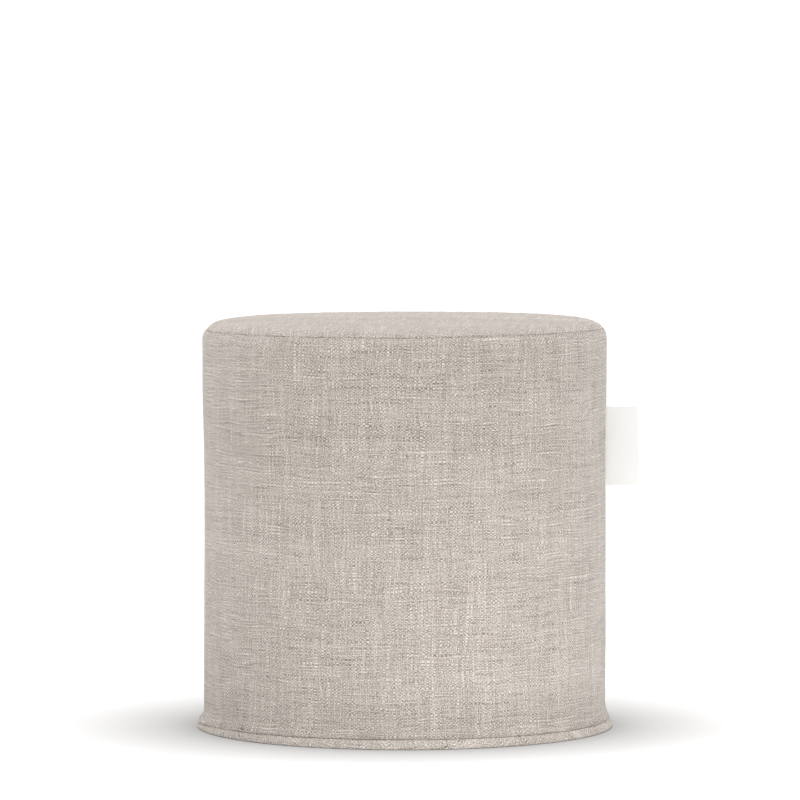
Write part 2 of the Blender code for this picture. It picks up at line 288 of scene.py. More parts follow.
def settleCloth():
    # The closed drum as a coarse net, held at its seams and on the floor and blown out from inside.
    # Returns how far each point ended from its place, as rows along the outer line and columns round it.
    inner = crownArc + fill["innerGap"]
    rows = int(round((footArc - crownArc - fill["innerGap"]) / fill["rowStep"]))
    arcs = np.linspace(inner, footArc, rows)
    arcs += -arcs[np.argmin(np.abs(arcs))] * np.exp(-((arcs / 0.05) ** 2))     # one row lies on the top seam
    angles = np.linspace(0, 2 * math.pi, fill["columns"] + 1)[:-1]
    fromSeam = np.minimum(np.abs(arcs), footArc - arcs)
    draw = np.random.default_rng(11)
    uneven = 1 + fill["startUneven"] * draw.uniform(-1, 1, (rows, fill["columns"]))
    inset = fill["startInset"] * np.clip(fromSeam / 0.02, 0, 1)[:, None] * uneven
    radius, height, out, up = outlineAt(arcs)

    def ringsOf(depth):
        r = radius[:, None] - out[:, None] * depth
        z = height[:, None] - up[:, None] * depth
        return np.stack([r * np.cos(angles), r * np.sin(angles), z + 0 * r], axis=2)

    home, start = ringsOf(0 * inset), ringsOf(inset)
    foot = []       # the base round's edge, then in across the floor
    for r, z in ((-cadLow[0], 0.0023), (-cadLow[0] - 0.0013, 0.0), (0.12, 0.0), (0.04, 0.0)):
        foot.append(np.stack([r * np.cos(angles), r * np.sin(angles), z + 0 * angles], axis=1))
    rings = list(start) + foot
    flats = [np.zeros((fill["columns"] + 1, 2))] * len(rings)
    poles = [((0, 0, start[0, 0, 2] + 0.0003), (0, 0)), ((0, 0, 0), (0, 0))]
    piece = newPiece("settling", netMesh("settling", rings, flats, poles))

    held = np.zeros((len(rings), fill["columns"]))
    held[:rows][fromSeam < 0.001] = 1
    held[rows:] = 1
    eased = np.zeros_like(held)
    near = np.exp(-((fromSeam / fill["easeReach"]) ** 2))
    eased[:rows] = (near * np.where(arcs > 0, 1, fill["topEase"]))[:, None]
    for label, weights in (("held", held), ("eased", eased)):
        group = piece.vertex_groups.new(name=label)
        for weight in np.unique(weights.round(3)):
            if weight > 0:
                group.add(np.nonzero(weights.round(3).ravel() == weight)[0].tolist(), float(weight), "REPLACE")

    cloth = piece.modifiers.new("Filled", "CLOTH")
    settings = cloth.settings
    settings.quality = fill["quality"]
    settings.mass = fill["mass"]
    settings.tension_stiffness = settings.compression_stiffness = fill["stretch"]
    settings.bending_stiffness = fill["bend"]
    settings.vertex_group_mass = "held"
    settings.vertex_group_shrink = "eased"
    settings.shrink_min, settings.shrink_max = 0.0, -fill["ease"]
    settings.use_pressure = True
    settings.uniform_pressure_force = fill["pressure"]
    settings.effector_weights.gravity = 0
    cloth.collision_settings.use_collision = False
    cloth.collision_settings.use_self_collision = False
    cloth.point_cache.frame_start, cloth.point_cache.frame_end = 1, fill["frames"]
    for step in range(1, fill["frames"] + 1):
        bpy.context.scene.frame_set(step)
    graph = bpy.context.evaluated_depsgraph_get()
    settled = bpy.data.meshes.new_from_object(piece.evaluated_get(graph), depsgraph=graph)
    places = np.empty(len(settled.vertices) * 3, np.float32)
    settled.vertices.foreach_get("co", places)
    moved = places.reshape(-1, 3)[:rows * fill["columns"]].reshape(rows, fill["columns"], 3) - home
    bpy.data.objects.remove(piece, do_unlink=True)
    bpy.context.scene.frame_set(1)

    # outwards, round and up; the drum keeps its outline, so the part that is the same all round is
    # limited, and the taut top round hardly moves
    cos, sin = np.cos(angles), np.sin(angles)
    x, y, z = np.moveaxis(moved, 2, 0)
    moved = np.stack([x * cos + y * sin, y * cos - x * sin, z], axis=2)
    even = moved.mean(axis=1, keepdims=True)
    moved = moved - even + np.clip(even, -fill["mostEven"], fill["mostEven"])
    length = np.linalg.norm(moved, axis=2, keepdims=True)
    moved *= np.minimum(1, fill["mostMove"] / np.maximum(length, 1e-9))
    moved *= np.clip(1 + arcs / fill["topFade"], fill["topShare"], 1)[:, None, None]
    most, usual = (round(float(value) * 1000, 2) for value in (length.max(), length.mean()))
    print("cloth settled, most move", most, "mm, usual", usual, "mm")
    return arcs, moved


settledArcs, settledMove = settleCloth()


def cubicShares(t):
    # How much each of four neighbours counts at t between the middle two, for a smooth line through
    # all: the cubic whose slope at a point is half the step between its neighbours
    return (((2 - t) * t - 1) * t / 2, ((3 * t - 5) * t * t + 2) / 2,
            ((4 - 3 * t) * t + 1) * t / 2, (t - 1) * t * t / 2)


def settledAt(arc, angle):
    # The settled cloth's move at one length along the outer line, all round: a smooth cubic
    # between the net's rows and between its columns
    rows, columns = settledMove.shape[:2]
    row = np.interp(arc, settledArcs, np.arange(rows))
    k = int(min(row, rows - 2))
    line = sum(share * settledMove[min(max(k + n - 1, 0), rows - 1)]
               for n, share in enumerate(cubicShares(row - k)))
    place = angle / (2 * math.pi) * columns
    c = np.floor(place).astype(int)
    move = sum(share[:, None] * line[(c + n - 1) % columns]
               for n, share in enumerate(cubicShares(place - c)))
    return move if arc > settledArcs[0] else move * 0


# ---- seams

seams = {
    "topLip": (0.00055, 0.00040),   # how far the cloth rounds into a seam: down to it, and inwards
    "footLip": (0.0008, 0.0004),
    "turnIn": 0.0028,           # how deep the cloth goes into a seam
    "halfGap": 0.00010,
    "stitch": 0.0042,           # from one stitch to the next
    "stitchDip": 0.00018,
    "hold": 0.0012,             # how far from a seam its stitches dip and the gathers start
    "pucker": 0.00018,          # fine gathers beside a seam
    "puckerReach": 0.0070,
    "softPucker": 0.00026,      # wider ones
    "softReach": 0.0160,
    "dark": 0.75,               # painted shade in a seam: how dark, and how far from it
    "darkReach": 0.0011,
    "spot": 0.4,                # the same painted shade at each stitch dip
    "spotReach": 0.0010,
    "patchyShade": 0.12,               # and painted shade in soft patches beside it
    "patchyShadeReach": 0.006,
}


def lipRows(lip, count=7):
    # Lengths from the seam and depths of a cloth edge that turns into it as a quarter of an oval
    turn = np.linspace(0, math.pi / 2, count)
    return seams["halfGap"] + lip[0] * (1 - np.cos(turn)), lip[1] * (1 - np.sin(turn))


def stitchPull(angle, seed):
    # 0 between stitches and 1 at each: a raised cosine round the drum whose steps wander a little
    turns = round(2 * math.pi * wallRadius / seams["stitch"])
    wander = 0.9 * ripples(angle, seed, 0.03, 0.12) + 0.4 * ripples(angle, seed + 1, 0.008, 0.02)
    return (0.5 + 0.5 * np.cos(turns * angle + wander)) ** 2


def seamRelief(angle, away, seed):
    # How far the cloth beside a seam stands out, at a distance from it: gathers that fade away from
    # the seam and are held flat at it, and a dip at each stitch
    hold = seams["hold"]
    near = 1 - np.exp(-((away / hold) ** 2))
    fine = seams["pucker"] * ripples(angle, seed, 0.006, 0.013) * np.exp(-away / seams["puckerReach"])
    soft = seams["softPucker"] * ripples(angle, seed + 5, 0.016, 0.040) * np.exp(-away / seams["softReach"])
    dip = seams["stitchDip"] * stitchPull(angle, seed + 9) * np.exp(-((away - hold) / hold) ** 2)
    return (fine + soft) * near - dip


def seamShade(angle, away, seed):
    # Painted shade beside a seam: darkest in it, broken along it, with a spot at each stitch dip
    broken = np.clip(0.75 + 0.35 * ripples(angle, seed + 20, 0.008, 0.05), 0.2, 1.3)
    broken = broken * np.clip(0.9 + 0.5 * ripples(angle, seed + 40, 0.12, 0.6, 8), 0.2, 1.6)
    spotReach = seams["spotReach"]
    spot = stitchPull(angle, seed + 9) * np.exp(-(((away - spotReach) / spotReach) ** 2))
    # painted shade in soft patches beside the seam
    patchyShade = np.clip(ripples(angle, seed + 30, 0.02, 0.09), 0, 2) * np.exp(-away / seams["patchyShadeReach"])
    line = np.exp(-((away / seams["darkReach"]) ** 2))
    return seams["dark"] * line * broken + seams["spot"] * spot * broken + seams["patchyShade"] * patchyShade


# ---- the band that holds the fill

band = {
    "underTop": 0.0023,         # how far the fill lies under the top round's outer face
    "overBase": 0.0024,         # and over the floor
    "middleStep": 0.0042,       # rows of the middle wall
    "seamStep": 0.0007,         # rows beside a seam
    "labelStep": 0.0009,
    "sideSeamDepth": 0.0011,
    "sideSeamHalf": 0.0008,
    "sideDark": 0.8,            # painted shade in the side seam: how dark, and how far from it
    "sideDarkReach": 0.0009,
    "sideRidge": 0.00025,       # the seam's turned-in cloth, felt at each side of it
    "ridgeAway": 0.0040,
    "ridgeHalf": 0.0026,
    "labelSlotHalf": 0.0012,
    "labelSlotDepth": 0.0023,
    "labelClear": 0.0004,       # room above and below the label
    "lumps": 0.00018,           # how the fill is felt through the cloth
}


def columnsFor(arcFromSeam):
    # As many points round the drum as the details there need: all of them beside a seam, then a
    # half, then a quarter
    columns = drum["columns"]
    return np.select([arcFromSeam < 0.010, arcFromSeam < 0.020], [columns, columns // 2], columns // 4)


def softStep(distance, width):
    # 0 well before and 1 well after a place: one over one plus a fading exponential
    return 1 / (1 + np.exp(np.clip(-distance / width, -60, 60)))


def sideSeamRelief(angle, radius, height):
    # The upright side seam: a soft groove between two faint ridges, which opens into a flat-bottomed
    # slot where the label's ends go in
    across = np.abs(radius * np.sin(angle)) + 1.0 * (np.cos(angle) < 0)
    groove = -band["sideSeamDepth"] * np.exp(-((across / band["sideSeamHalf"]) ** 2))
    ridges = band["sideRidge"] * np.exp(-(((across - band["ridgeAway"]) / band["ridgeHalf"]) ** 2))
    slot = -band["labelSlotDepth"] * softStep(band["labelSlotHalf"] - across, 0.00010)
    inSlot = (softStep(height - labelLow + band["labelClear"], 0.00025)
              * softStep(labelHigh + band["labelClear"] - height, 0.00025))
    return np.where(inSlot > 0.01, np.minimum(groove, slot * inSlot), groove) + ridges


def lumps(angle, height):
    # Soft unevenness of the fill: a few crossing waves, each a cosine round the drum and up it
    draw = np.random.default_rng(31)
    total = 0
    for _ in range(14):
        turns, rise, start = draw.integers(3, 22), draw.uniform(-60, 60), draw.uniform(0, 6.3)
        total = total + np.cos(turns * angle + rise * height + start)
    return band["lumps"] * total / math.sqrt(7)


def turnedRing(count, radius, height, out, up, arc, relief):
    # One ring of a piece: its place on the outline, pushed outwards by the relief, then by the
    # drum's unevenness and by the settled cloth's own move
    step = drum["columns"] // count
    angle = columnAngles[:-1:step]
    r = radius + out * relief(angle)
    z = height + up * relief(angle)
    shiftOut, shiftUp = unevenness(r, angle, z)
    move = settledAt(arc, angle)
    r, z = r + shiftOut + move[:, 0], z + shiftUp + move[:, 2]
    turned = angle + move[:, 1] / max(radius, 0.05)
    return np.stack([r * np.cos(turned), r * np.sin(turned), z], axis=1)


def none(angle):
    # No relief or shade: 0 all round
    return 0 * angle


def full(angle):
    # The full painted shade of a seam: 1 all round
    return 0 * angle + 1


def bandFlat(count, along):
    # A ring's place on the flat band: its length round the wall, and how far down it is
    angle = columnAngles[::drum["columns"] // count]
    return np.stack([angle * wallRadius, np.full(angle.shape, along)], axis=1)


def roundFlat(count, radius):
    # A ring's place on a flat round
    angle = columnAngles[::drum["columns"] // count]
    return np.stack([radius * np.cos(angle), radius * np.sin(angle)], axis=1)


def makeBand():
    # Under the top round from the axis outwards, up out of the top seam, down the wall, into the
    # foot seam and back to the axis over the base round
    rings, flats, shades = [], [], []

    def ring(count, radius, height, out=0.0, up=0.0, arc=0.0, relief=none, shade=none, along=0.0):
        rings.append(turnedRing(count, radius, height, out, up, arc, relief))
        flats.append(bandFlat(count, along))
        shades.append(shade(columnAngles[:-1:drum["columns"] // count]))

    columns = drum["columns"]
    for share, count in ((0.2, 90), (0.45, 180), (0.7, 360), (0.88, 360), (0.95, 720), (0.985, columns)):
        arc = crownArc * (1 - share)
        radius, height, out, up = outlineAt(arc, band["underTop"])
        ring(count, radius, height, arc=arc, along=arc)
    arc = seams["halfGap"]
    radius, height, out, up = outlineAt(arc, seams["turnIn"])
    ring(columns, radius, height, arc=arc, shade=full, along=arc)

    topArc, topDepth = lipRows(seams["topLip"])
    lowArc, lowDepth = lipRows(seams["footLip"])
    wallSpots = [(topArc[-1], 0.008, band["seamStep"]), (footArc - lowArc[-1], 0.010, band["seamStep"])]
    for edge in (labelLow, labelHigh):
        place = np.interp(-edge, -outlineHeight[wallStart:], outlineArc[wallStart:])
        wallSpots.append((place, 0.0025, band["labelStep"]))
    wallArc = unevenSteps(topArc[-1], footArc - lowArc[-1], band["middleStep"], wallSpots)
    arcs = np.concatenate([topArc[:-1], wallArc, (footArc - lowArc[:-1])[::-1]])
    depths = np.concatenate([topDepth[:-1], 0 * wallArc, lowDepth[:-1][::-1]])
    counts = columnsFor(np.minimum(arcs, footArc - arcs))
    for arc, depth, count in zip(arcs, depths, counts):
        radius, height, out, up = outlineAt(arc, depth)
        top, bottom = arc - seams["halfGap"], footArc - arc - seams["halfGap"]

        def relief(angle):
            clear = np.clip(min(top, bottom) / 0.004, 0, 1)
            return (seamRelief(angle, top, 100) + seamRelief(angle, bottom, 200)
                    + clear * (sideSeamRelief(angle, radius, height) + lumps(angle, height)))

        # painted shade: in and beside the top and foot seams, in the side seam, and in patches above the foot seam
        def shade(angle):
            across = np.abs(radius * np.sin(angle)) + 1.0 * (np.cos(angle) < 0)
            side = band["sideDark"] * np.exp(-((across / band["sideDarkReach"]) ** 2))
            # painted shade in patches just above the foot seam, where the cloth curves out into the fold
            patchyShade = np.clip(0.7 + 0.5 * ripples(angle, 240, 0.03, 0.25, 10), 0, 2) * np.exp(-bottom / 0.007)
            return seamShade(angle, top, 100) + seamShade(angle, bottom, 200) + side + patchyShade

        ring(int(count), radius, height, out, up, arc, relief, shade, arc)

    seamZ = drum["footSeam"]
    floor = band["overBase"]
    for radius, height, count in (
            (wallRadius + 0.0010, seamZ - 0.0003, columns), (wallRadius - 0.0020, seamZ - 0.0010, columns),
            (wallRadius - 0.0034, seamZ - 0.0020, columns // 2), (wallRadius - 0.0054, floor, columns // 4),
            (0.130, floor, 180), (0.060, floor, 90)):
        ring(count, radius, height, arc=footArc, shade=full, along=footArc)
    poles = [((0, 0, topHeight - band["underTop"]), (0, crownArc)), ((0, 0, floor), (0, footArc))]
    return newPiece("filled_band", netMesh("filled_band", rings, flats, poles, shades))


# ---- the two rounds

rounds = {
    "topThick": 0.0018,
    "topStep": 0.0050,
    "baseThick": 0.0018,
    "allowance": 0.0100,        # cloth turned in at the seam, beyond what shows
    # the base round's turned-up edge, from the seam to the floor: outside the wall, and height
    "edgeLine": [(0.0033, 0.0087), (0.0036, 0.0085), (0.0043, 0.0076), (0.0052, 0.0062), (0.0060, 0.0046),
                 (0.0066, 0.0030), (0.0069, 0.0017), (0.0069, 0.0008), (0.0064, 0.0002), (0.0058, 0.0000)],
}


def makeTopRound():
    # A closed sheet: its outer face from the axis out to the seam and down into it, then back
    # to the axis one thickness below
    rings, flats, shades = [], [], []
    columns = drum["columns"]
    lipArc, lipDepth = lipRows(seams["topLip"])
    arcs = unevenSteps(crownArc * 0.94, -lipArc[-1], rounds["topStep"], [(-lipArc[-1], 0.008, band["seamStep"])])
    arcs = np.concatenate([arcs, -lipArc[:-1][::-1]])
    depths = np.concatenate([np.zeros(len(arcs) - len(lipArc) + 1), lipDepth[:-1][::-1]])
    counts = columnsFor(-arcs)
    counts = np.where(outlineAt(arcs)[0] < 0.050, 90, np.where(outlineAt(arcs)[0] < 0.100, 180, counts))
    for arc, depth, count in zip(arcs, depths, counts):
        radius, height, out, up = outlineAt(arc, depth)
        away = max(-arc - seams["halfGap"], 0)
        rings.append(turnedRing(count, radius, height, out, up, arc, lambda angle: seamRelief(angle, away, 300)))
        flats.append(roundFlat(count, arc - crownArc))
        shades.append(seamShade(columnAngles[:-1:columns // count], away, 300))
    for arc, count in ((-seams["halfGap"], columns), (-0.0030, columns), (-0.0120, columns // 2),
                       (-0.030, columns // 4), (-0.08, 180), (-0.14, 90)):
        radius, height, out, up = outlineAt(arc, rounds["topThick"])
        rings.append(turnedRing(count, radius, height, out, up, arc, none))
        flats.append(roundFlat(count, arc - crownArc))
        # the cloth turned in at the seam and the inner face carry the full painted seam shade
        shades.append(np.ones(count))
    poles = [((0, 0, height), (0, 0)) for height in (topHeight, topHeight - rounds["topThick"])]
    return newPiece("top_round", netMesh("top_round", rings, flats, poles, shades))


def makeBaseRound():
    # A closed sheet: from the foot seam out over its rounded, turned-up edge and flat across the
    # floor to the axis, then back one thickness above
    rings, flats, shades = [], [], []
    columns = drum["columns"]
    seamZ, thick = drum["footSeam"], rounds["baseThick"]

    def ring(count, radius, height, flat, shade=none, relief=none, out=1.0, up=0.0):
        rings.append(turnedRing(count, radius, height, out, up, footArc, relief))
        flats.append(roundFlat(count, flat))
        shades.append(shade(columnAngles[:-1:columns // count]))

    for radius, count in ((0.060, 90), (0.130, 180), (0.180, columns // 4), (wallRadius - 0.0050, columns // 2)):
        ring(count, radius, thick, radius, full)
    for outside, below in ((-0.0030, 0.0024), (-0.0010, 0.0014), (0.0010, 0.0007)):
        ring(columns, wallRadius + outside, seamZ - below, wallRadius + outside, full)
    # the edge that shows: from the seam it slopes out and down, and rolls under at the floor
    rough = np.array(rounds["edgeLine"])
    run = np.concatenate(([0], np.cumsum(np.hypot(*np.diff(rough, axis=0).T))))
    steps = np.linspace(0, run[-1], 17)
    radius, height = (wallRadius + gently(steps, run, rough[:, 0])), gently(steps, run, rough[:, 1])
    out, up = -np.gradient(height, steps), np.gradient(radius, steps)
    flatEdge = radius[-1]
    for k in range(len(steps)):
        away = steps[k]
        strength = np.clip(height[k] / 0.0030, 0, 1) ** 2
        ring(columns, radius[k], height[k], flatEdge + run[-1] - away,
             lambda angle: seamShade(angle, away, 200),
             lambda angle: strength * seamRelief(angle, away, 400), out[k], up[k])
    for radius, count in ((flatEdge - 0.004, columns // 2), (0.195, columns // 4),
                          (0.160, 360), (0.110, 180), (0.050, 90)):
        ring(count, radius, 0.0, radius)
    poles = [((0, 0, thick), (0, 0)), ((0, 0, 0), (0, 0))]
    return newPiece("base_round", netMesh("base_round", rings, flats, poles, shades))


# ---- the label in the side seam

label = {
    "cloth": 0.00050,
    "innerGap": 0.00030,
    "curl": 0.0008,             # how far it bows to one side
    "wave": 0.00035,
    "twist": 0.0004,
    "acrossSteps": 64,
    "upSteps": 84,
    "sewnIn": 0.0017,           # how far its ends go into the side seam
    "tipInset": 0.0008,         # how far its fold stays inside its plain solid
}


def makeLabel():
    # A strip folded round its free end: the path of the fold seen from above, carried up the seam,
    # then bowed a little to one side and waved along its length
    root, tip = wallRadius - label["sewnIn"], labelBox[1][0] - label["tipInset"]
    offset = (label["innerGap"] + label["cloth"]) / 2
    foldCentre = tip - offset - label["cloth"] / 2
    straight = foldCentre - root
    whole = 2 * straight + math.pi * offset
    run = np.linspace(0, whole, label["acrossSteps"] + 1)
    run = np.sort(np.concatenate([run, straight + np.linspace(0, 1, 9) * math.pi * offset]))
    turn = np.clip((run - straight) / offset, 0, math.pi)
    back = np.where(run > straight + math.pi * offset, root + whole - run, foldCentre + offset * np.sin(turn))
    x = np.where(run < straight, root + run, back)
    y = offset * np.cos(turn)
    low, high = labelLow, labelHigh
    z = unevenSteps(low, high, (high - low) / label["upSteps"], [(low, 0.0015, 0.0004), (high, 0.0015, 0.0004)])
    out = np.clip((x - wallRadius) / (tip - wallRadius), 0, 1)[:, None]
    share = ((z - low) / (high - low))[None, :]
    bow = (label["curl"] * out ** 2 + label["wave"] * out * np.sin(2.6 * math.pi * share + 0.7)
           + label["twist"] * out ** 2 * np.cos(1.3 * math.pi * share))
    loose = 1 + 0.6 * out * np.sin(math.pi * share) ** 2           # the two layers part a little
    pull = label["twist"] * out * np.cos(2.1 * math.pi * share + 0.4)
    grid = np.stack([x[:, None] - pull + 0 * share, y[:, None] * loose + bow, z[None, :] + 0 * out], axis=2)
    across, upwards = grid.shape[:2]
    index = np.arange(across * upwards).reshape(across, upwards)
    faces = np.stack([index[:-1, :-1], index[:-1, 1:], index[1:, 1:], index[1:, :-1]], axis=2).reshape(-1, 4)
    mesh = bpy.data.meshes.new("folded_label")
    mesh.from_pydata(grid.reshape(-1, 3).tolist(), [], faces.tolist())
    flat = np.stack(np.broadcast_arrays(run[:, None], (z - low)[None, :]), axis=2).reshape(-1, 2)
    mesh.uv_layers.new(name="clothFlat").data.foreach_set("uv", flat[faces.ravel()].astype(np.float32).ravel())
    mesh.shade_smooth()
    piece = newPiece("folded_label", mesh)
    layer = piece.modifiers.new("Cloth", "SOLIDIFY")
    layer.thickness = label["cloth"]
    layer.offset = 0
    return piece, whole


filledBand = makeBand()
print("band made", len(filledBand.data.polygons), "faces")
topRound = makeTopRound()
baseRound = makeBaseRound()
print("rounds made", len(topRound.data.polygons), len(baseRound.data.polygons), "faces")
foldedLabel, labelRun = makeLabel()
print("label made, flat length", round(labelRun, 4))

# ---- materials


def nodeTools(material):
    # Short names for building a material: add makes a node and fills its sockets, calc is a Math
    # node, noise is a soft random value about -1 to 1 at a flat place, flecks is the same along a
    # line, and soft is a value that rises from 0 between two limits along an S-shaped cubic
    material.use_nodes = True
    tree = material.node_tree

    def add(kind, sockets=None, **settings):
        node = tree.nodes.new(kind)
        for name, value in settings.items():
            setattr(node, name, value)
        for name, value in (sockets or {}).items():
            if isinstance(value, bpy.types.NodeSocket):
                tree.links.new(value, node.inputs[name])
            else:
                node.inputs[name].default_value = value
        return node

    def calc(operation, *values):
        return add("ShaderNodeMath", dict(enumerate(values)), operation=operation).outputs[0]

    def noise(x, y, gain=1.0, detail=0.0):
        place = add("ShaderNodeCombineXYZ", {"X": x, "Y": y}).outputs[0]
        cloud = add("ShaderNodeTexNoise", {"Vector": place, "Scale": 1.0, "Detail": detail}, noise_dimensions="2D")
        return calc("MULTIPLY", calc("SUBTRACT", cloud.outputs[0], 0.5), 4.0 * gain)

    def flecks(along, gain):
        cloud = add("ShaderNodeTexNoise", {"W": along, "Scale": 1.0, "Detail": 1.0}, noise_dimensions="1D")
        return calc("MULTIPLY", calc("SUBTRACT", cloud.outputs[0], 0.5), 4.0 * gain)

    def soft(value, low, high, to=1.0):
        span = {"Value": value, "From Min": low, "From Max": high, "To Min": 0.0, "To Max": to}
        return add("ShaderNodeMapRange", span, interpolation_type="SMOOTHSTEP").outputs[0]

    return tree, add, calc, noise, flecks, soft


cloth = {
    "warpPitch": 2.10,          # millimetres from one upright yarn to the next
    "weftPitch": 1.52,          # and from one level yarn to the next
    "wander": 0.9,              # how far yarns stray from straight, in yarns
    "dark": (0.225, 0.195, 0.165, 1.0),
    "middle": (0.486, 0.433, 0.387, 1.0),
    "light": (0.760, 0.695, 0.642, 1.0),
    "uneven": 0.34,             # how uneven the yarns' widths are
    "skip": 0.18,               # how often a yarn misses a crossing
    "check": 0.28,              # how much lighter the upright yarns are than the level ones
    "warpLine": 0.110,          # how much whole yarns differ
    "weftLine": 0.110,
    "warpPair": 0.04,           # how much each differs from the next
    "weftPair": 0.13,
    "fleck": 0.13,              # and flecks along a yarn
    "crossing": 0.08,           # how much each crossing differs from the next
    "grain": 0.26,
    "band": 0.05,               # and how much whole stretches of level yarns drift
    "gap": 0.34,                # painted shade between yarns: how much darker it is there
    "darkSlub": 0.22,
    "lightSlub": 0.16,
    "cloud": 0.022,
    "lift": 0.012,              # how much lighter than its own tone; on the top and base rounds this is painted light
    # how much the painted seam shade darkens the cloth
    "seam": 0.12,
    "bump": 0.00030,
    "sheen": 0.18,
}


def wovenCloth(name, start, values=cloth):
    # Plain weave: the sine across the upright yarns times the sine across the level ones says which is on top,
    # and how near a point is to the middle of its yarn, with painted shade away from it. Each yarn's tone
    # runs along it in flecks, and some stretches are thick dark or light slubs.
    material = bpy.data.materials.new(name)
    tree, add, calc, noise, flecks, soft = nodeTools(material)
    shader = tree.nodes["Principled BSDF"]
    flat = add("ShaderNodeSeparateXYZ", {0: add("ShaderNodeUVMap", uv_map="clothFlat").outputs[0]})
    x = calc("MULTIPLY_ADD", flat.outputs[0], 1000.0, start)
    y = calc("MULTIPLY_ADD", flat.outputs[1], 1000.0, start * 0.7)
    across = calc("DIVIDE", x, values["warpPitch"])
    down = calc("DIVIDE", y, values["weftPitch"])

    def patches(wide, tall, gain, detail=0.0):
        # noise in patches of a size in millimetres
        return noise(calc("DIVIDE", x, wide), calc("DIVIDE", y, tall), gain, detail)

    def streaks(first, firstRate, second, secondRate, gain=1.0, detail=0.0):
        # noise in streaks: each count of yarns times its own rate
        return noise(calc("MULTIPLY", first, firstRate), calc("MULTIPLY", second, secondRate), gain, detail)

    a = calc("ADD", calc("ADD", across, patches(38.0, 70.0, values["wander"], 1.0)),
             streaks(across, 0.53, down, 0.02, values["uneven"]))
    b = calc("ADD", calc("ADD", down, patches(60.0, 30.0, values["wander"], 1.0)),
             streaks(down, 0.57, across, 0.03, values["uneven"]))
    i, j = calc("FLOOR", a), calc("FLOOR", b)
    acrossWarp, acrossWeft = (calc("SINE", calc("MULTIPLY", value, math.pi)) for value in (a, b))
    crossing = calc("MULTIPLY", acrossWarp, acrossWeft)
    missed = streaks(i, 3.13, j, 3.77, values["skip"])
    warpUp = soft(calc("ADD", crossing, missed), -0.25, 0.25)
    middle = calc("POWER", calc("ABSOLUTE", crossing), 0.5)

    warpTone = calc("ADD", flecks(calc("MULTIPLY_ADD", i, 41.3, b), values["fleck"]),
                    streaks(i, 5.39, b, 0.025, values["warpLine"]))
    weftTone = calc("ADD", flecks(calc("MULTIPLY_ADD", j, 53.7, a), values["fleck"]),
                    streaks(a, 0.04, j, 5.83, values["weftLine"]))
    warpPair = streaks(a, 0.2, b, 0.05, values["warpPair"])
    weftPair = streaks(a, 0.05, b, 0.2, values["weftPair"])
    pairs = calc("ADD", calc("MULTIPLY", acrossWarp, warpPair), calc("MULTIPLY", acrossWeft, weftPair))
    patch = calc("ADD", patches(14.0, 11.0, 0.8), 1.0)
    check = calc("MULTIPLY_ADD", calc("MULTIPLY", calc("SUBTRACT", warpUp, 0.5), values["check"]), patch, pairs)
    warpLight = soft(streaks(i, 2.31, b, 0.020), 0.55, 1.0, values["lightSlub"])
    weftDark = soft(streaks(a, 0.055, j, 3.37, 1.0, 1.0), 0.45, 1.0, values["darkSlub"])
    # a slub is thick enough to show a little where it goes under, too
    warpAll = calc("SUBTRACT", calc("ADD", warpTone, warpLight), calc("MULTIPLY", weftDark, 0.4))
    weftAll = calc("SUBTRACT", calc("MULTIPLY_ADD", warpLight, 0.3, weftTone), weftDark)
    yarn = add("ShaderNodeMix", {"Factor": warpUp, "A": weftAll, "B": warpAll}).outputs[0]
    # painted shade between the yarns
    between = calc("MULTIPLY", calc("SUBTRACT", middle, 0.62), values["gap"])
    spot = add("ShaderNodeCombineXYZ", {"X": i, "Y": j}).outputs[0]
    each = add("ShaderNodeTexWhiteNoise", {"Vector": spot}, noise_dimensions="2D").outputs["Value"]
    grain = calc("MULTIPLY_ADD", calc("SUBTRACT", each, 0.5), values["crossing"],
                 patches(1.25, 1.15, values["grain"]))
    cloud = calc("ADD", patches(45.0, 28.0, values["cloud"], 2.0), patches(900.0, 55.0, values["band"], 1.0))
    tone = calc("ADD", calc("ADD", calc("ADD", yarn, between), calc("ADD", grain, cloud)),
                calc("ADD", check, 0.5 + values["lift"]))

    ramp = add("ShaderNodeValToRGB", {"Fac": tone})
    stops = ramp.color_ramp.elements
    stops[0].color, stops[1].color = values["dark"], values["light"]
    stops.new(0.5).color = values["middle"]
    # painted shade in and beside the seams, read from the seamShade attribute
    shade = add("ShaderNodeAttribute", attribute_name="seamShade").outputs["Fac"]
    left = calc("MAXIMUM", calc("SUBTRACT", 1.0, calc("MULTIPLY", shade, values["seam"])), 0.15)
    grey = add("ShaderNodeCombineXYZ", {0: left, 1: left, 2: left}).outputs[0]
    colour = add("ShaderNodeVectorMath", {0: ramp.outputs[0], 1: grey}, operation="MULTIPLY")
    tree.links.new(colour.outputs[0], shader.inputs["Base Color"])

    thick = calc("ADD", calc("MULTIPLY", middle, 0.8), calc("MULTIPLY", yarn, 0.5))
    bump = add("ShaderNodeBump", {"Height": thick, "Distance": values["bump"], "Strength": 1.0})
    tree.links.new(bump.outputs[0], shader.inputs["Normal"])
    tree.links.new(calc("SUBTRACT", 0.98, calc("MULTIPLY", middle, 0.12)), shader.inputs["Roughness"])
    shader.inputs["Specular IOR Level"].default_value = 0.25
    shader.inputs["Sheen Weight"].default_value = values["sheen"]
    shader.inputs["Sheen Roughness"].default_value = 0.5
    return material


ribbon = {                      # pitches in millimetres
    "warpPitch": 0.62,
    "weftPitch": 0.46,
    "colour": (0.995, 0.992, 0.972, 1.0),
    "shadow": (0.930, 0.922, 0.897, 1.0),
    "edge": 1.4,                # millimetres of closer weave along its two edges
    "bump": 0.00008,
}


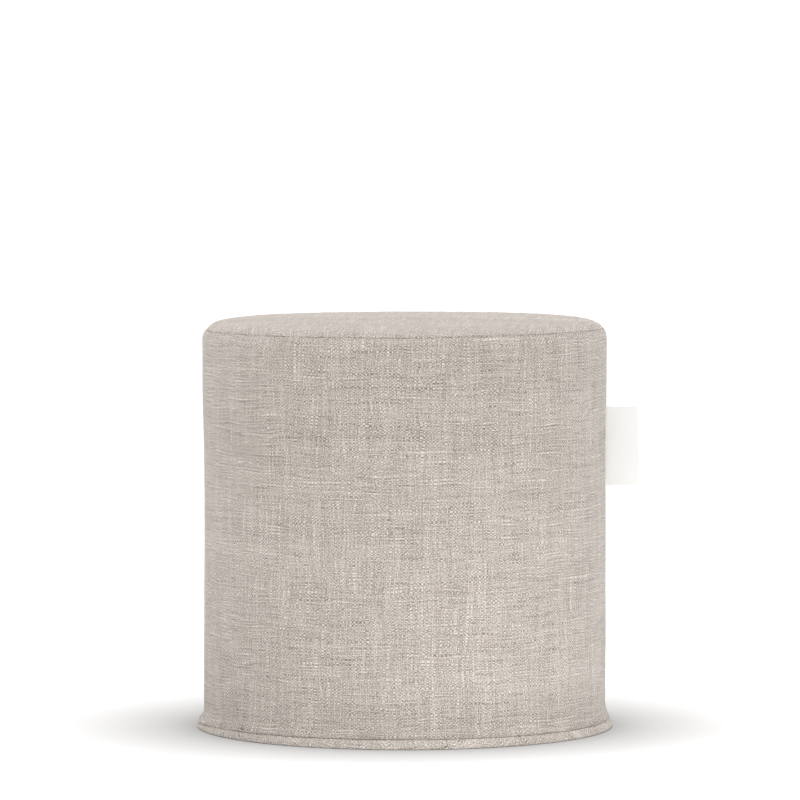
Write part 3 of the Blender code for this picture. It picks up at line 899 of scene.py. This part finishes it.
def labelWeave(name, values=ribbon):
    # A fine close weave in ivory yarn: the same crossing of sines at a small pitch, with painted shade
    # between yarns, and a little darker along its two edges
    material = bpy.data.materials.new(name)
    tree, add, calc, noise, _, soft = nodeTools(material)
    shader = tree.nodes["Principled BSDF"]
    flat = add("ShaderNodeSeparateXYZ", {0: add("ShaderNodeUVMap", uv_map="clothFlat").outputs[0]})
    x = calc("MULTIPLY", flat.outputs[0], 1000.0)
    y = calc("MULTIPLY", flat.outputs[1], 1000.0)
    a, b = calc("DIVIDE", x, values["weftPitch"]), calc("DIVIDE", y, values["warpPitch"])
    crossing = calc("MULTIPLY", *(calc("SINE", calc("MULTIPLY", value, math.pi)) for value in (a, b)))
    middle = calc("POWER", calc("ABSOLUTE", crossing), 0.5)
    fleck = noise(calc("MULTIPLY", a, 0.25), calc("MULTIPLY", calc("FLOOR", b), 3.3), 0.12, 1.0)
    width = (labelHigh - labelLow) * 1000
    fromEdge = calc("MINIMUM", y, calc("SUBTRACT", width, y))
    edge = soft(calc("SUBTRACT", values["edge"], fromEdge), 0.0, 1.0, 0.25)
    tone = calc("SUBTRACT", calc("ADD", calc("MULTIPLY", middle, 0.6), calc("ADD", fleck, 0.40)), edge)
    colour = add("ShaderNodeValToRGB", {"Fac": tone})
    colour.color_ramp.elements[0].color, colour.color_ramp.elements[1].color = values["shadow"], values["colour"]
    tree.links.new(colour.outputs[0], shader.inputs["Base Color"])
    thick = calc("ADD", middle, calc("MULTIPLY", edge, 2.0))
    bump = add("ShaderNodeBump", {"Height": thick, "Distance": values["bump"], "Strength": 1.0})
    tree.links.new(bump.outputs[0], shader.inputs["Normal"])
    tree.links.new(calc("SUBTRACT", 0.80, calc("MULTIPLY", middle, 0.15)), shader.inputs["Roughness"])
    shader.inputs["Specular IOR Level"].default_value = 0.3
    shader.inputs["Sheen Weight"].default_value = 0.1
    return material


pieces = [
    # piece, node that it stands for, slot, material
    (filledBand, "side_panel", "side_cloth", wovenCloth("sideCloth", 997.0)),
    # the top and base rounds are lighter copies of the cloth: painted light for the light from above on the top and
    # on the base round's upward sloping edge
    (topRound, "top_panel", "top_cloth", wovenCloth("topClothPaintedLight", 431.0, dict(cloth, lift=0.042))),
    (baseRound, "base_panel", "base_cloth", wovenCloth("baseClothPaintedLight", 877.0, dict(cloth, lift=0.057, grain=0.20))),
    (foldedLabel, "side_label", "label_weave", labelWeave("labelWeave")),
]
for piece, node, slot, material in pieces:
    piece.data.materials.append(material)
    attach(piece, "root")
    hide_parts(node)

# ---- floor, light and camera

stage = {
    "floorHalf": 900.0,
    "floorTone": 0.90,
    # painted contact shadow on the floor: how near things must be to darken it, and by what share at most
    "paintedFloorShadows": [(0.170, 0.86), (0.040, 0.14)],
    "worldStrength": 0.69,
    "overhead": 1.88,
    "overheadWidth": 100.0,     # degrees
    # low lamps round the drum: degrees from the front towards the label, and watts
    "low": [(-70, 0.02), (-10, 0.06), (20, 0.16), (50, 0.16), (110, 0.09)],
    "lowAway": 0.50,
    "lowHeight": 0.03,
    "lowSize": (0.30, 0.05),
}


def makeFloor():
    # One large four-sided face, moved aside by a third so that its diagonal stays away from the
    # drum. Its tone carries a painted contact shadow: for each reach it is multiplied by 1 less the share that is
    # closed in there.
    half, aside = stage["floorHalf"], stage["floorHalf"] / 3
    mesh = bpy.data.meshes.new("floor")
    corners = [(x * half + aside, y * half, 0) for x, y in ((-1, -1), (1, -1), (1, 1), (-1, 1))]
    mesh.from_pydata(corners, [], [(0, 1, 2, 3)])
    floor = newPiece("floor", mesh)
    material = bpy.data.materials.new("paleFloor")
    tree, add, calc = nodeTools(material)[:3]
    shader = tree.nodes["Principled BSDF"]
    tone = stage["floorTone"]
    # painted contact shadow: the floor is darker where the drum closes it in
    for reach, share in stage["paintedFloorShadows"]:
        near = add("ShaderNodeAmbientOcclusion", {"Distance": reach}).outputs["AO"]
        tone = calc("MULTIPLY", calc("MULTIPLY_ADD", near, share, 1 - share), tone)
    tree.links.new(tone, shader.inputs["Base Color"])
    shader.inputs["Roughness"].default_value = 1.0
    shader.inputs["Specular IOR Level"].default_value = 0.0
    mesh.materials.append(material)
    floor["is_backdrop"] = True


def aimed(item, place, target):
    # Puts a lamp at its place and turns it so that its own -Z runs along the line to the target
    item.location = place
    item.rotation_euler = (Vector(target) - Vector(place)).to_track_quat("-Z", "Y").to_euler()


def makeLowLamps():
    # Low, flat lamps on a circle round the drum, each facing its axis
    for turn, power in stage["low"]:
        lamp = bpy.data.lights.new("lowLight", "AREA")
        lamp.shape = "RECTANGLE"
        lamp.size, lamp.size_y = stage["lowSize"]
        lamp.energy = power
        item = bpy.data.objects.new("lowLight", lamp)
        bpy.context.scene.collection.objects.link(item)
        away, turn, height = stage["lowAway"], math.radians(turn), stage["lowHeight"]
        aimed(item, (away * math.sin(turn), -away * math.cos(turn), height), (0, 0, height))
        item.visible_camera = False


makeFloor()
makeLowLamps()
overhead = bpy.data.lights.new("overheadLight", "SUN")
overhead.energy = stage["overhead"]
overhead.angle = math.radians(stage["overheadWidth"])
bpy.context.scene.collection.objects.link(bpy.data.objects.new("overheadLight", overhead))
world = bpy.data.worlds.new("studio")
bpy.context.scene.world = world
world.use_nodes = True
world.node_tree.nodes["Background"].inputs[0].default_value = (1.0, 1.0, 1.0, 1.0)
world.node_tree.nodes["Background"].inputs[1].default_value = stage["worldStrength"]
bpy.context.scene.view_settings.view_transform = "Standard"

camera = {
    "away": 6.2,                # level distance from the drum's axis
    "height": 0.735,
    "towards": 6.0,             # degrees from the front towards the label
    "downwards": 3.78,          # degrees
    "lens": 280.8,
    "left": 0.0046,             # how far it stands to the left of the line to the axis
}


def makeCamera():
    # On a circle round the drum's axis, moved a little to the left and tipped down
    data = bpy.data.cameras.new("camera")
    data.lens = camera["lens"]
    data.sensor_width = 36
    data.clip_end = 500
    item = bpy.data.objects.new("camera", data)
    bpy.context.scene.collection.objects.link(item)
    turn = math.radians(camera["towards"])
    item.location = (camera["away"] * math.sin(turn) - camera["left"] * math.cos(turn),
                     -camera["away"] * math.cos(turn) - camera["left"] * math.sin(turn), camera["height"])
    item.rotation_euler = (math.radians(90 - camera["downwards"]), 0, turn)
    bpy.context.scene.camera = item


makeCamera()
print("floor, light and camera set")

bpy.context.view_layer.update()
